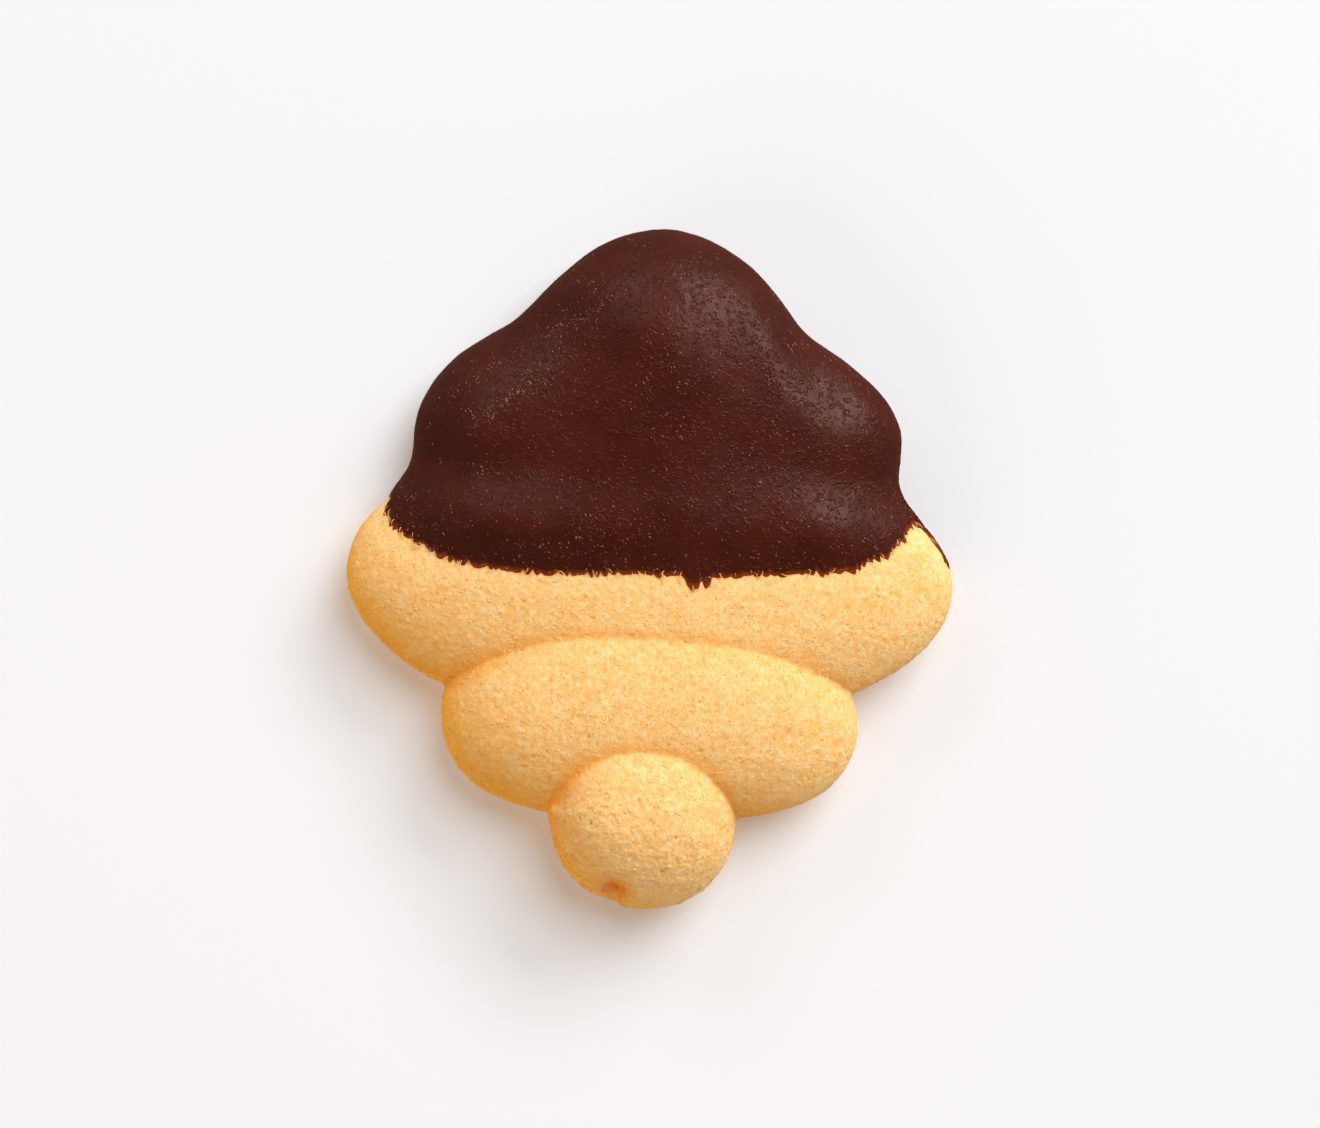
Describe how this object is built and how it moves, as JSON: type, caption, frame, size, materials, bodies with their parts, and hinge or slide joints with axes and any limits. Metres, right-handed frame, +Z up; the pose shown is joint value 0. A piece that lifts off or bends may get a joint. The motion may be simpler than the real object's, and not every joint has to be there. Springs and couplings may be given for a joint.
{
  "type": "chocolate-dipped cookie",
  "caption": "Piped, lobed butter cookie that tapers to a small round tip, with its other end dipped in dark chocolate past the middle.",
  "frame": {"origin": "on the resting plane, under the middle of the cookie's outline", "axes": "+X across the cookie, +Y along it from the small bare tip to the dipped end, +Z up from the baked side"},
  "size_m": [0.0536, 0.0598, 0.0127],
  "materials": {
    "baked_dough": "matt fine sandy crumb, pale gold, browner at the foot and in the creases",
    "dark_chocolate": "satin dark chocolate with a fine leathery grain"
  },
  "bodies": {
    "root": {"biscuit": "baked_dough", "chocolate_coat": "dark_chocolate"}
  },
  "joints": []
}
